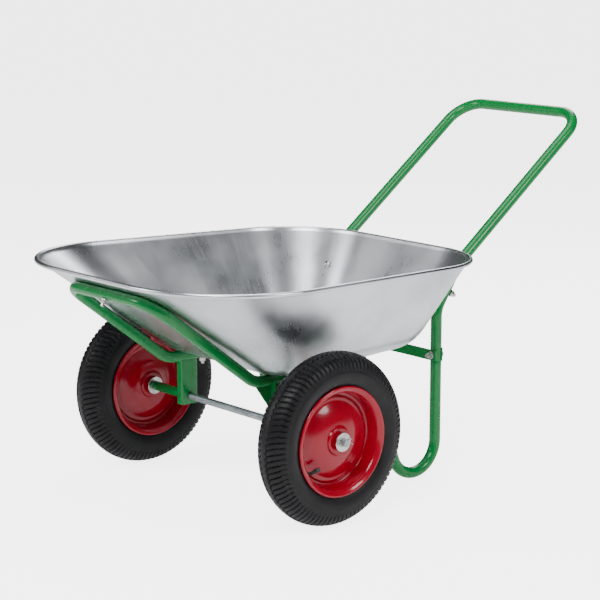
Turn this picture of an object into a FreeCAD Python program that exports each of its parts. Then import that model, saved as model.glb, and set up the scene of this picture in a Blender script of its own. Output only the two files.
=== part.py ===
import FreeCAD, Part
import math
import os

from FreeCAD import Placement, Rotation, Vector

# Two-wheeled garden wheelbarrow: a pressed galvanised tray on a bent tube frame,
# with two pneumatic wheels on a fixed axle and two bent tube legs.
# Millimetres.  +X points to the nose, +Y to the left wheel, +Z up, the ground is z = 0.
# X is measured from the axle while modelling; export() moves the origin to the
# middle of the overall length, on the ground.

# ---- wheels -------------------------------------------------------------------
TRACK = 633.0                 # between the middles of the two tyres
TYRE_R = 182.0                # outer radius, and so the height of the axle
TYRE_HALF_WIDTH = 40.0        # widest, at the middle of the side wall
TYRE_WALL = 5.0
TREAD_HALF_WIDTH = 31.0       # to the middle of the rounded shoulder
TREAD_SHOULDER_DROP = 14.0    # shoulder below the crown
BEAD_SEAT_R = 102.0           # radius that the tyre beads sit on
BEAD_HALF_WIDTH = 30.0        # from the wheel's middle to the outside of a bead
BEAD_CLEARANCE = 1.0          # between a bead and the rim's flange
BEAD_SPREAD = 3.5             # of the side wall where it leaves the flange
FLANGE_R = 114.0              # outer radius of the rolled rim flange
RIM_SHEET = 2.0
DISC_RING_R = 80.0            # where the flat welded ring meets the dome
DOME_R = 30.0                 # where the dome meets the collar
DOME_RISE = 20.0
COLLAR_RISE = 5.0
DOME_CROWN = 0.62             # rise at the middle of the dome, as a share of DOME_RISE
FLANGE_FLARE = 2.0
HUB_R = 15.0                  # outside of the hub tube
HUB_BORE_R = 12.0
HUB_HALF_LENGTH = 36.0
BUSH_LENGTH = 26.0
BUSH_FLANGE_R = 14.5
BUSH_FLANGE = 1.5
RUNNING_FIT = 0.06            # radial clearance of a bush on the axle
TUBE_WALL = 1.5               # rubber inner tube
VALVE_R = 3.6
VALVE_ANGLE = -38.0           # degrees, from the nose side up
VALVE_CAP_LENGTH = 9.0
VALVE_CAP_WALL = 1.0
VALVE_BURIED = 6.0            # of the stem behind the barrel
VALVE_LENGTH = 22.0
VALVE_LEAN = 0.5              # outboard share of the stem's direction
TUBE_GAP = 0.3                # between inner tube and tyre

# ---- axle ---------------------------------------------------------------------
AXLE_R = 8.0
AXLE_OVERHANG = 12.0          # past the outer washer
AXLE_CHAMFER = 1.0
SPACER_CLEARANCE = 0.5        # of a spacer sleeve round the axle
SPACER_WALL = 2.0
WASHER_R = 20.0
WASHER_THICK = 2.5
SIDE_PLAY = 0.4               # between a hub and each washer
PIN_R = 2.0                   # split pin
PIN_LEG = 14.0
PIN_EYE_R = 4.0

# ---- frame tubes --------------------------------------------------------------
TUBE_R = 12.5
TUBE_SHEET = 1.5
RAIL_Y = 150.0                # front loop: side tubes and rails
RAIL_Z = 278.0
LOOP_FRONT_BEND = 55.0
LOOP_LOWER_BEND = 60.0
LOOP_LOWER_X = 63.0
RAIL_REAR_X = -245.0
CROSSBAR_DOWN_WALL = 49.0     # from the top of the nose wall down to the crossbar
HANDLE_Y = 192.0              # handle loop and legs
HANDLE_REAR_X = -899.0
HANDLE_TOP_Z = 774.0
HANDLE_BEND = 66.0
KNEE_CLEARANCE = 1.6          # between the handle arms and the rolled rim
HANDLE_KNEE_Z = 466.5
HANDLE_KNEE_BEND = 60.0
LEG_FRONT_FACE_X = -413.5     # front of the leg tubes, behind the tray
HANDLE_LOWER_BEND_Z = 375.0
HANDLE_LOWER_BEND = 60.0
HANDLE_END_Z = 258.0
LEG_BEND = 66.0               # of the foot, on the tube's centre line
LEG_FRONT_LEAN = 70.0         # degrees, front branch from the ground
LEG_SPIGOT_LENGTH = 45.0      # of the leg inside the handle tube
SPIGOT_CLEARANCE = 0.2
LEG_TAB_THICK = 5.0
LEG_TAB_LENGTH = 46.0
LEG_TAB_WIDTH = 30.0

# ---- tray ---------------------------------------------------------------------
SHEET = 1.2
FLOOR_FRONT_X = 42.0
FLOOR_REAR_X = -387.0
FLOOR_FRONT_HALF = 226.0
FLOOR_REAR_HALF = 207.0
FLOOR_NOSE_CORNER = 78.0
FLOOR_REAR_CORNER = 100.0
FLOOR_RISE = 9.0              # of the rear end of the floor over its front
NOSE_X = 356.0
NOSE_Z = 515.0
REAR_X = -495.0
REAR_Z = 494.0
NOSE_HALF = 384.0
REAR_HALF = 318.0
RIM_NOSE_CORNER = 235.0
RIM_REAR_CORNER = 195.0
FLOOR_FILLET = 96.0
BEAD_R = 5.0                  # rolled rim
BEAD_OUT = 4.2                # bead's centre outside the sheet's edge
BEAD_DOWN = 1.8

# ---- brackets, strap, gusset --------------------------------------------------
BRACKET_HALF = 22.0           # along X
BRACKET_DEPTH = 18.0          # of a flange, outboard from the web
BRACKET_SHEET = 3.0
BRACKET_BELOW_AXLE = 18.0
AXLE_HOLE_CLEARANCE = 0.3
GUSSET_LENGTH = 52.0
GUSSET_DROP = 64.0            # below the rail's centre line
STRAP_HEIGHT = 24.0
STRAP_THICK = 3.0
STRAP_Z = 272.0
STRAP_PAST_LEG = 15.0
SADDLE_HEIGHT = 28.0
SADDLE_THICK = 2.5
SADDLE_WRAP = 8.0             # how far its lips reach round the tube

# ---- fasteners ----------------------------------------------------------------
BOLT_R = 4.0                  # M8
BOLT_HEAD_R = 9.0
BOLT_HEAD_RISE = 4.0
NUT_ACROSS_FLATS = 13.0
NUT_HEIGHT = 6.5
SMALL_WASHER_R = 8.5
SMALL_WASHER_THICK = 1.6
THREAD_PAST_NUT = 6.0
HOLE_CLEARANCE = 0.4
FLOOR_BOLT_X = -35.0
HEAD_STAND_OFF = 0.4          # a flat head on the curved sheet touches only at its edge
REAR_BOLT_DOWN = 64.0         # along the tube from the knee to the tray's rear bolt

X_AXIS = Vector(1, 0, 0)
Y_AXIS = Vector(0, 1, 0)
Z_AXIS = Vector(0, 0, 1)
SIDES = {"left": 1, "right": -1}
SHORTEST_RUN = 1e-4           # a shorter straight run is left out of a wire
PAST_FACE = 1.0               # how far a cut runs past the face it opens
FAR = 200.0                   # further than any tube is from its own end


# ---- shapes -------------------------------------------------------------------
def bent_wire(points, radii):
    """Straight runs through points, joined at each inner point by a tangent arc."""
    edges = []
    start = points[0]
    for before, corner, after, radius in zip(points, points[1:], points[2:], radii):
        into = (corner - before).normalize()
        out = (after - corner).normalize()
        turn = into.getAngle(out)
        reach = radius * math.tan(turn / 2)
        arc_start = corner - into * reach
        arc_end = corner + out * reach
        inward = (out - into).normalize()
        middle = corner + inward * (radius / math.cos(turn / 2) - radius)
        if start.distanceToPoint(arc_start) > SHORTEST_RUN:
            edges.append(Part.LineSegment(start, arc_start).toShape())
        edges.append(Part.Arc(arc_start, middle, arc_end).toShape())
        start = arc_end
    if start.distanceToPoint(points[-1]) > SHORTEST_RUN:
        edges.append(Part.LineSegment(start, points[-1]).toShape())
    return Part.Wire(edges)


def rod_along(wire, radius):
    """A solid round bar that follows an open or closed wire."""
    edge = wire.OrderedEdges[0]
    tangent = edge.tangentAt(edge.FirstParameter)
    start = edge.valueAt(edge.FirstParameter)
    section = Part.Wire(Part.makeCircle(radius, start, tangent))
    return wire.makePipeShell([section], True, False)


def tube_along(wire, radius, wall):
    """A hollow round tube that follows an open wire."""
    return rod_along(wire, radius).cut(rod_along(wire, radius - wall))


def cylinder(radius, start, end):
    """A round bar from one point to another."""
    along = end - start
    return Part.makeCylinder(radius, along.Length, start, along)


def ring(outer, inner, start, end):
    """A round sleeve or washer between two points."""
    return cylinder(outer, start, end).cut(cylinder(inner, start, end))


def box(low, high):
    """A box between two corners."""
    size = high - low
    return Part.makeBox(size.x, size.y, size.z, low)


def hexagon(across_flats, height, base, axis):
    """A hexagonal prism that stands on base along axis."""
    corner_r = across_flats / 2 / math.cos(math.pi / 6)
    corners = [Vector(corner_r * math.cos(math.radians(a)), corner_r * math.sin(math.radians(a)), 0)
               for a in range(0, 361, 60)]
    prism = Part.Face(Part.makePolygon(corners)).extrude(Vector(0, 0, height))
    prism.Placement = Placement(base, Rotation(Z_AXIS, axis))
    return prism


def turned(face):
    """Turn a face drawn as (radius, y) in the XY plane once round the Y axis."""
    return face.revolve(Vector(), Y_AXIS, 360)


def polygon_face(points):
    """A flat face with straight sides through (radius, y) points."""
    corners = [Vector(r, y, 0) for r, y in points]
    return Part.Face(Part.makePolygon(corners + corners[:1]))


def on_side(shape, side):
    """Place a left-hand shape on the side named."""
    return shape if side > 0 else shape.mirror(Vector(), Y_AXIS)


def swap(vector, side):
    """A left-hand point or direction on the side named."""
    return Vector(vector.x, side * vector.y, vector.z)


def group(solids):
    """Separate solids that share one node."""
    return Part.makeCompound(solids)


# ---- derived places -------------------------------------------------------------
axle_z = TYRE_R
wheel_y = TRACK / 2
hub_inner_y = wheel_y - HUB_HALF_LENGTH
hub_outer_y = wheel_y + HUB_HALF_LENGTH
inner_washer_y = hub_inner_y - SIDE_PLAY - WASHER_THICK
outer_washer_y = hub_outer_y + SIDE_PLAY
axle_end_y = outer_washer_y + WASHER_THICK + AXLE_OVERHANG
pin_y = outer_washer_y + WASHER_THICK + PIN_R + SIDE_PLAY
web_y = RAIL_Y                                    # inboard face of an axle bracket
leg_x = LEG_FRONT_FACE_X - TUBE_R
floor_front_z = RAIL_Z + TUBE_R                   # outer face of the sheet
floor_rear_z = floor_front_z + FLOOR_RISE
nose_slope = math.atan2(NOSE_Z - floor_front_z, NOSE_X - FLOOR_FRONT_X)
crossbar_x = NOSE_X - CROSSBAR_DOWN_WALL * math.cos(nose_slope) + TUBE_R * math.sin(nose_slope)
crossbar_z = NOSE_Z - CROSSBAR_DOWN_WALL * math.sin(nose_slope) - TUBE_R * math.cos(nose_slope)
axle_x_in_export = (TUBE_R - HANDLE_REAR_X - NOSE_X - BEAD_OUT - BEAD_R) / 2


# ---- tray -----------------------------------------------------------------------
def tray_outline(front, rear, half_widths, corner_radii):
    """A rounded trapezoid in a plane that tilts about the Y axis.

    front and rear are the (x, z) of its two ends; half widths and corner radii are
    given for the front and then for the rear.
    """
    length = math.hypot(front[0] - rear[0], front[1] - rear[1])
    tilt = math.degrees(math.atan2(front[1] - rear[1], front[0] - rear[0]))
    front_half, rear_half = half_widths
    front_corner, rear_corner = corner_radii
    start = Vector()
    corners = [Vector(0, front_half, 0), Vector(-length, rear_half, 0),
               Vector(-length, -rear_half, 0), Vector(0, -front_half, 0)]
    wire = bent_wire([start] + corners + [start],
                     [front_corner, rear_corner, rear_corner, front_corner])
    wire.Placement = Placement(Vector(front[0], 0, front[1]), Rotation(Y_AXIS, -tilt))
    return wire


def tray_body(inset):
    """The solid inside the tray's outer face drawn in by inset, and its top face."""
    rear_slope = math.atan2(REAR_Z - floor_rear_z, FLOOR_REAR_X - REAR_X)
    side_slope = math.atan2(NOSE_Z - floor_front_z, NOSE_HALF - FLOOR_FRONT_HALF)
    side_foot = inset * math.tan(side_slope / 2)
    side_rim = inset / math.sin(side_slope)
    foot = tray_outline(
        (FLOOR_FRONT_X - inset * math.tan(nose_slope / 2), floor_front_z + inset),
        (FLOOR_REAR_X + inset * math.tan(rear_slope / 2), floor_rear_z + inset),
        (FLOOR_FRONT_HALF - side_foot, FLOOR_REAR_HALF - side_foot),
        (FLOOR_NOSE_CORNER - side_foot, FLOOR_REAR_CORNER - side_foot))
    rim = tray_outline(
        (NOSE_X - inset / math.sin(nose_slope), NOSE_Z),
        (REAR_X + inset / math.sin(rear_slope), REAR_Z),
        (NOSE_HALF - side_rim, REAR_HALF - side_rim),
        (RIM_NOSE_CORNER - side_rim, RIM_REAR_CORNER - side_rim))
    body = Part.makeLoft([foot, rim], True, True)
    fillet = FLOOR_FILLET - inset
    top = min(floor_rear_z, floor_front_z) + SHEET + FLOOR_RISE
    floor_edges = [e for e in body.Edges if e.BoundBox.ZMax < top]
    return body.makeFillet(fillet, floor_edges), Part.Face(rim)


def rim_bead():
    """The rolled edge of the tray, a closed tube outside the top of the sheet."""
    path = tray_outline(
        (NOSE_X + BEAD_OUT, NOSE_Z - BEAD_DOWN), (REAR_X - BEAD_OUT, REAR_Z - BEAD_DOWN),
        (NOSE_HALF + BEAD_OUT, REAR_HALF + BEAD_OUT),
        (RIM_NOSE_CORNER + BEAD_OUT, RIM_REAR_CORNER + BEAD_OUT))
    return rod_along(path, BEAD_R)


# ---- tube frame -----------------------------------------------------------------
def front_loop_wire():
    """Centre line of the loop: rail, up under the nose, across, and back."""
    side = [Vector(RAIL_REAR_X, RAIL_Y, RAIL_Z), Vector(LOOP_LOWER_X, RAIL_Y, RAIL_Z),
            Vector(crossbar_x, RAIL_Y, crossbar_z)]
    other = [Vector(p.x, -p.y, p.z) for p in reversed(side)]
    return bent_wire(side + other, [LOOP_LOWER_BEND, LOOP_FRONT_BEND, LOOP_FRONT_BEND,
                                    LOOP_LOWER_BEND])


def handle_knee(bead):
    """Corner where the left arm leaves the rear wall, so that the arm clears the bead."""
    cut = min(bead.slice(Y_AXIS, HANDLE_Y), key=lambda wire: wire.BoundBox.XMin)
    centre = cut.BoundBox.Center
    top = Vector(HANDLE_REAR_X, HANDLE_Y, HANDLE_TOP_Z)
    fall = math.atan2(top.z - centre.z, centre.x - top.x)
    apart = math.hypot(top.z - centre.z, centre.x - top.x)
    slope = fall + math.asin((TUBE_R + BEAD_R + KNEE_CLEARANCE) / apart)
    return Vector(top.x + (top.z - HANDLE_KNEE_Z) / math.tan(slope), HANDLE_Y, HANDLE_KNEE_Z)


def handle_wire(knee):
    """Centre line of the handle: leg top, up the rear wall, up the arm, across, back."""
    side = [Vector(leg_x, HANDLE_Y, HANDLE_END_Z), Vector(leg_x, HANDLE_Y, HANDLE_LOWER_BEND_Z),
            knee, Vector(HANDLE_REAR_X, HANDLE_Y, HANDLE_TOP_Z)]
    other = [Vector(p.x, -p.y, p.z) for p in reversed(side)]
    radii = [HANDLE_LOWER_BEND, HANDLE_KNEE_BEND, HANDLE_BEND]
    return bent_wire(side + other, radii + radii[::-1])


def leg_points():
    """Corners of a left leg's centre line, from its top to the tab at its front end."""
    foot_z = TUBE_R
    lean = math.radians(LEG_FRONT_LEAN)
    front_corner_x = leg_x + LEG_BEND + LEG_BEND * math.tan(lean / 2)
    tab_x = front_corner_x + (RAIL_Z - foot_z) / math.tan(lean)
    return [Vector(leg_x, HANDLE_Y, HANDLE_END_Z), Vector(leg_x, HANDLE_Y, foot_z),
            Vector(front_corner_x, HANDLE_Y, foot_z), Vector(tab_x, HANDLE_Y, RAIL_Z)]


def leg_tab_place():
    """Middle of the tab's inner face, on the outside of the rail."""
    tab_x = leg_points()[-1].x
    return Vector(tab_x, RAIL_Y + TUBE_R, RAIL_Z)


def make_leg():
    """A bent leg with a narrowed spigot at the top and a flattened tab at the front."""
    top, heel, toe, front = leg_points()
    tab = leg_tab_place()
    tab_middle = tab + Y_AXIS * (LEG_TAB_THICK / 2)
    shoulder = front + (toe - front).normalize() * (LEG_TAB_LENGTH + 2 * TUBE_R)
    wire = bent_wire([top, heel, toe, shoulder, tab_middle],
                     [LEG_BEND, LEG_BEND, LEG_BEND])
    tube = tube_along(wire, TUBE_R, TUBE_SHEET)
    spigot_r = TUBE_R - TUBE_SHEET - SPIGOT_CLEARANCE
    spigot = ring(spigot_r, spigot_r - TUBE_SHEET, top, top + Z_AXIS * LEG_SPIGOT_LENGTH)
    shoulder_ring = ring(TUBE_R, spigot_r - TUBE_SHEET, top - Z_AXIS * TUBE_SHEET, top)
    rail_side = box(Vector(tab.x - FAR, RAIL_Y - FAR, RAIL_Z - TUBE_R - LEG_TAB_LENGTH),
                    Vector(tab.x + FAR, tab.y, RAIL_Z + FAR))
    above = box(Vector(tab.x - FAR, tab.y, RAIL_Z), Vector(tab.x + FAR, tab.y + FAR, RAIL_Z + FAR))
    plate = box(Vector(tab.x - LEG_TAB_WIDTH / 2, tab.y, RAIL_Z - LEG_TAB_LENGTH / 2),
                Vector(tab.x + LEG_TAB_WIDTH / 2, tab.y + LEG_TAB_THICK, RAIL_Z + TUBE_R))
    leg = tube.fuse(shoulder_ring).fuse(spigot).cut(rail_side).cut(above).fuse(plate)
    return leg.removeSplitter()


def make_bracket(rails):
    """A left axle bracket: a web under the rail with two flanges turned outboard."""
    low = Vector(-BRACKET_HALF, web_y, axle_z - BRACKET_BELOW_AXLE)
    high = Vector(BRACKET_HALF, web_y + BRACKET_DEPTH, RAIL_Z)
    channel = box(low, high)
    hollow = box(low + Vector(BRACKET_SHEET, BRACKET_SHEET, -PAST_FACE),
                 high + Vector(-BRACKET_SHEET, PAST_FACE, PAST_FACE))
    hole = cylinder(AXLE_R + AXLE_HOLE_CLEARANCE, Vector(0, web_y - PAST_FACE, axle_z),
                    Vector(0, web_y + BRACKET_SHEET + PAST_FACE, axle_z))
    return channel.cut(hollow).cut(hole).cut(rails)


def make_gusset(rails):
    """A three-cornered plate between the front flange and the sloping tube."""
    foot = Vector(BRACKET_HALF, web_y, RAIL_Z - GUSSET_DROP)
    corner = Vector(BRACKET_HALF, web_y, RAIL_Z)
    slope = (crossbar_z - RAIL_Z) / (crossbar_x - LOOP_LOWER_X)
    rise = max(0.0, BRACKET_HALF + GUSSET_LENGTH - LOOP_LOWER_X) * slope
    tip = Vector(BRACKET_HALF + GUSSET_LENGTH, web_y, RAIL_Z + rise)
    plate = Part.Face(Part.makePolygon([foot, corner, tip, foot])).extrude(Y_AXIS * BRACKET_SHEET)
    return largest(plate.cut(rails))


def largest(shape):
    """The biggest solid of a shape."""
    return max(shape.Solids, key=lambda solid: solid.Volume)


def make_strap():
    """A flat bar across the front of both legs."""
    front_x = leg_x + TUBE_R
    half = HANDLE_Y + STRAP_PAST_LEG
    strap = box(Vector(front_x, -half, STRAP_Z - STRAP_HEIGHT / 2),
                Vector(front_x + STRAP_THICK, half, STRAP_Z + STRAP_HEIGHT / 2))
    for y in (HANDLE_Y, -HANDLE_Y):
        strap = strap.cut(cylinder(BOLT_R + HOLE_CLEARANCE, Vector(front_x - PAST_FACE, y, STRAP_Z),
                                   Vector(front_x + STRAP_THICK + PAST_FACE, y, STRAP_Z)))
    return strap


def make_saddle():
    """A curved plate behind the left leg joint, under the strap bolt's head."""
    low = Vector(leg_x, HANDLE_Y, STRAP_Z - SADDLE_HEIGHT / 2)
    high = Vector(leg_x, HANDLE_Y, STRAP_Z + SADDLE_HEIGHT / 2)
    sleeve = ring(TUBE_R + SADDLE_THICK, TUBE_R, low, high)
    reach = 2 * (TUBE_R + SADDLE_THICK)
    keep = box(Vector(leg_x - reach, HANDLE_Y - reach, low.z),
               Vector(leg_x - TUBE_R + SADDLE_WRAP, HANDLE_Y + reach, high.z))
    hole = cylinder(BOLT_R + HOLE_CLEARANCE, Vector(leg_x - reach, HANDLE_Y, STRAP_Z),
                    Vector(leg_x, HANDLE_Y, STRAP_Z))
    return sleeve.common(keep).cut(hole)


# ---- wheels, drawn about the origin with the axle along Y -----------------------
def rim_half():
    """The outer pressed half of a rim: flange, seat, flat ring, dome and collar."""
    ring_y = RIM_SHEET
    dome_y = ring_y + DOME_RISE
    collar_y = dome_y + COLLAR_RISE
    flange_y = BEAD_HALF_WIDTH
    dome_middle = Vector((DISC_RING_R + DOME_R) / 2, ring_y + DOME_RISE * DOME_CROWN, 0)
    points = [Vector(FLANGE_R, flange_y + RIM_SHEET + 2 * FLANGE_FLARE, 0),
              Vector(BEAD_SEAT_R + FLANGE_FLARE, flange_y + RIM_SHEET, 0),
              Vector(BEAD_SEAT_R - RIM_SHEET, flange_y - FLANGE_FLARE, 0),
              Vector(BEAD_SEAT_R - 2 * RIM_SHEET, ring_y, 0), Vector(DISC_RING_R, ring_y, 0)]
    edges = [Part.LineSegment(a, b).toShape() for a, b in zip(points, points[1:])]
    dome_end = Vector(DOME_R, dome_y, 0)
    edges.append(Part.Arc(points[-1], dome_middle, dome_end).toShape())
    collar = [dome_end, Vector(DOME_R - RIM_SHEET, collar_y, 0), Vector(HUB_R, collar_y, 0)]
    edges += [Part.LineSegment(a, b).toShape() for a, b in zip(collar, collar[1:])]
    sheet = Part.Wire(edges).makeOffset2D(-RIM_SHEET, 2, True, True)
    inside = box(Vector(0, 0, -PAST_FACE), Vector(FLANGE_R * 2, HUB_HALF_LENGTH * 2, PAST_FACE))
    return turned(sheet.common(inside)).cut(cylinder(HUB_R, Vector(), Y_AXIS * HUB_HALF_LENGTH))


def tyre_section(inset):
    """Outline of the tyre across its width, drawn in by inset, as a closed face."""
    seat_r = BEAD_SEAT_R + FLANGE_FLARE + inset
    bead = Vector(seat_r, BEAD_HALF_WIDTH - BEAD_CLEARANCE - inset, 0)
    above_flange = Vector(FLANGE_R + FLANGE_FLARE, BEAD_HALF_WIDTH + BEAD_SPREAD - inset, 0)
    belly = Vector((BEAD_SEAT_R + TYRE_R) / 2, TYRE_HALF_WIDTH - inset, 0)
    shoulder = Vector(TYRE_R - TREAD_SHOULDER_DROP - inset, TREAD_HALF_WIDTH - inset, 0)
    crown = Vector(TYRE_R - inset, 0, 0)
    near = [bead, above_flange, belly, shoulder]
    far = [Vector(p.x, -p.y, 0) for p in near]
    edges = [Part.LineSegment(near[0], near[1]).toShape(),
             Part.Arc(near[1], near[2], near[3]).toShape(),
             Part.Arc(near[3], crown, far[3]).toShape(), Part.Arc(far[3], far[2], far[1]).toShape(),
             Part.LineSegment(far[1], far[0]).toShape(), Part.LineSegment(far[0], near[0]).toShape()]
    return Part.Face(Part.Wire(edges))


def make_tyre():
    """A hollow tyre, open between its beads."""
    cavity = tyre_section(TYRE_WALL)
    mouth = polygon_face([(BEAD_SEAT_R, -BEAD_HALF_WIDTH + 2 * TYRE_WALL),
                          (BEAD_SEAT_R, BEAD_HALF_WIDTH - 2 * TYRE_WALL),
                          (BEAD_SEAT_R + 4 * TYRE_WALL, BEAD_HALF_WIDTH - 2 * TYRE_WALL),
                          (BEAD_SEAT_R + 4 * TYRE_WALL, -BEAD_HALF_WIDTH + 2 * TYRE_WALL)])
    return turned(tyre_section(0).cut(cavity).cut(mouth))


def make_inner_tube():
    """The rubber tube that holds the air, inside the tyre."""
    outer = tyre_section(TYRE_WALL + TUBE_GAP)
    inner = tyre_section(TYRE_WALL + TUBE_GAP + TUBE_WALL)
    return turned(outer.cut(inner))


def make_hub():
    """The steel tube through the middle of a wheel."""
    end = Y_AXIS * (HUB_HALF_LENGTH - BUSH_FLANGE)
    return ring(HUB_R, HUB_BORE_R, end * -1, end)


def make_bush(end):
    """A flanged plastic bush pressed into one end of the hub, end is +1 or -1."""
    bore_r = AXLE_R + RUNNING_FIT
    lip = Y_AXIS * (end * (HUB_HALF_LENGTH - BUSH_FLANGE))
    sleeve = ring(HUB_BORE_R, bore_r, lip - Y_AXIS * (end * BUSH_LENGTH), lip)
    return sleeve.fuse(ring(BUSH_FLANGE_R, bore_r, lip, Y_AXIS * (end * HUB_HALF_LENGTH)))


def valve_line():
    """Where the valve crosses the rim's barrel, and the direction it points in."""
    angle = math.radians(VALVE_ANGLE)
    outward = Vector(math.cos(angle), 0, math.sin(angle))
    root = outward * (BEAD_SEAT_R - RIM_SHEET) + Y_AXIS * (BEAD_HALF_WIDTH / 2)
    return root, (Y_AXIS * VALVE_LEAN - outward).normalize()


def make_wheel():
    """Every piece of one wheel, as a dictionary of node name endings."""
    root, lean = valve_line()
    buried = root - lean * VALVE_BURIED
    tip = root + lean * VALVE_LENGTH
    hole = cylinder(VALVE_R + HOLE_CLEARANCE, buried, tip)
    outer = rim_half().cut(hole)
    inner = rim_half().mirror(Vector(), Y_AXIS)
    cap = cylinder(VALVE_R + VALVE_CAP_WALL, tip, tip + lean * VALVE_CAP_LENGTH)
    tube = make_inner_tube()
    stem = cylinder(VALVE_R, buried, tip)
    return {"rim_outer_half": outer, "rim_inner_half": inner, "hub_tube": make_hub(),
            "hub_bushes": group([make_bush(1), make_bush(-1)]), "tyre": make_tyre(),
            "inner_tube": tube, "valve_stem": stem.cut(tube), "valve_cap": cap}


# ---- axle, spacers and fasteners -------------------------------------------------
def make_axle():
    """The round axle, chamfered at both ends and drilled for the split pins."""
    reach = Y_AXIS * axle_end_y
    axle = cylinder(AXLE_R, Z_AXIS * axle_z - reach, Z_AXIS * axle_z + reach)
    axle = axle.makeChamfer(AXLE_CHAMFER, [e for e in axle.Edges if e.Closed])
    for side in SIDES.values():
        middle = Vector(0, side * pin_y, axle_z)
        axle = axle.cut(cylinder(PIN_R, middle - X_AXIS * TUBE_R, middle + X_AXIS * TUBE_R))
    return axle


def make_split_pin():
    """A left split pin: an eye in front of the axle and two legs spread behind it."""
    middle = Vector(0, pin_y, axle_z)
    shank_r = PIN_R - HOLE_CLEARANCE / 2
    shank = cylinder(shank_r, middle - X_AXIS * AXLE_R, middle + X_AXIS * (AXLE_R + PIN_R))
    eye_middle = middle + X_AXIS * (AXLE_R + PIN_EYE_R + PIN_R)
    eye = Part.makeTorus(PIN_EYE_R, PIN_R / 2, eye_middle, Y_AXIS)
    pin = shank.fuse(eye)
    for spread in (1, -1):
        root = middle + Vector(-AXLE_R, 0, spread * PIN_R / 2)
        tip = root + Vector(-PIN_LEG, 0, spread * PIN_R)
        pin = pin.fuse(cylinder(PIN_R / 2, root, tip))
    return pin


def make_bolt(head_face, axis, grip):
    """A cup-head bolt: domed head on head_face, shank along axis through grip."""
    length = grip + SMALL_WASHER_THICK + NUT_HEIGHT + THREAD_PAST_NUT
    sphere_r = (BOLT_HEAD_R ** 2 + BOLT_HEAD_RISE ** 2) / (2 * BOLT_HEAD_RISE)
    half_turn = math.asin(BOLT_HEAD_R / sphere_r) / 2
    crown = Vector(0, 0, -BOLT_HEAD_RISE)
    shoulder = Vector(sphere_r * math.sin(half_turn), 0,
                      sphere_r - BOLT_HEAD_RISE - sphere_r * math.cos(half_turn))
    corners = [Vector(BOLT_HEAD_R, 0, 0), Vector(BOLT_R, 0, 0), Vector(BOLT_R, 0, length),
               Vector(0, 0, length), crown]
    edges = [Part.Arc(crown, shoulder, corners[0]).toShape()]
    edges += [Part.LineSegment(a, b).toShape() for a, b in zip(corners, corners[1:])]
    bolt = Part.Face(Part.Wire(edges)).revolve(Vector(), Z_AXIS, 360)
    bolt.Placement = Placement(head_face, Rotation(Z_AXIS, axis))
    return bolt


def make_washer_and_nut(face, axis):
    """A washer on face and a hexagon nut on it, both bored for the bolt."""
    nut_base = face + axis * SMALL_WASHER_THICK
    washer = ring(SMALL_WASHER_R, BOLT_R, face, nut_base)
    nut = hexagon(NUT_ACROSS_FLATS, NUT_HEIGHT, nut_base, axis)
    return washer, nut.cut(cylinder(BOLT_R, nut_base, nut_base + axis * NUT_HEIGHT))


def joint(head_face, axis, grip):
    """Bolt, washer, nut, and the clearance hole that they need."""
    axis = Vector(axis).normalize()
    washer, nut = make_washer_and_nut(head_face + axis * grip, axis)
    start = head_face - axis * (2 * BOLT_HEAD_RISE)
    hole = cylinder(BOLT_R + HOLE_CLEARANCE, start, head_face + axis * (grip + SMALL_WASHER_THICK))
    return make_bolt(head_face, axis, grip), washer, nut, hole


def rear_bolt_seat(body, knee):
    """Where the left rear bolt enters the wall, its axis, and the depth to the tube's far side.

    The axis is square to the wall and passes through the tube's centre line.
    """
    down = (Vector(leg_x, HANDLE_Y, HANDLE_LOWER_BEND_Z) - knee).normalize()
    centre = knee + down * REAR_BOLT_DOWN
    gap, points, _ = Part.Vertex(centre).distToShape(body)
    seat = points[0][1]
    return seat, (centre - seat).normalize(), gap + TUBE_R


def height_of_floor(x, y, body):
    """How far above the rail's centre line the outer face of body is at (x, y)."""
    foot = Vector(x, y, RAIL_Z)
    inside = Part.LineSegment(foot, foot + Z_AXIS * FLOOR_FILLET).toShape().common(body)
    return min(vertex.Z for vertex in inside.Vertexes) - RAIL_Z


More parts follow.
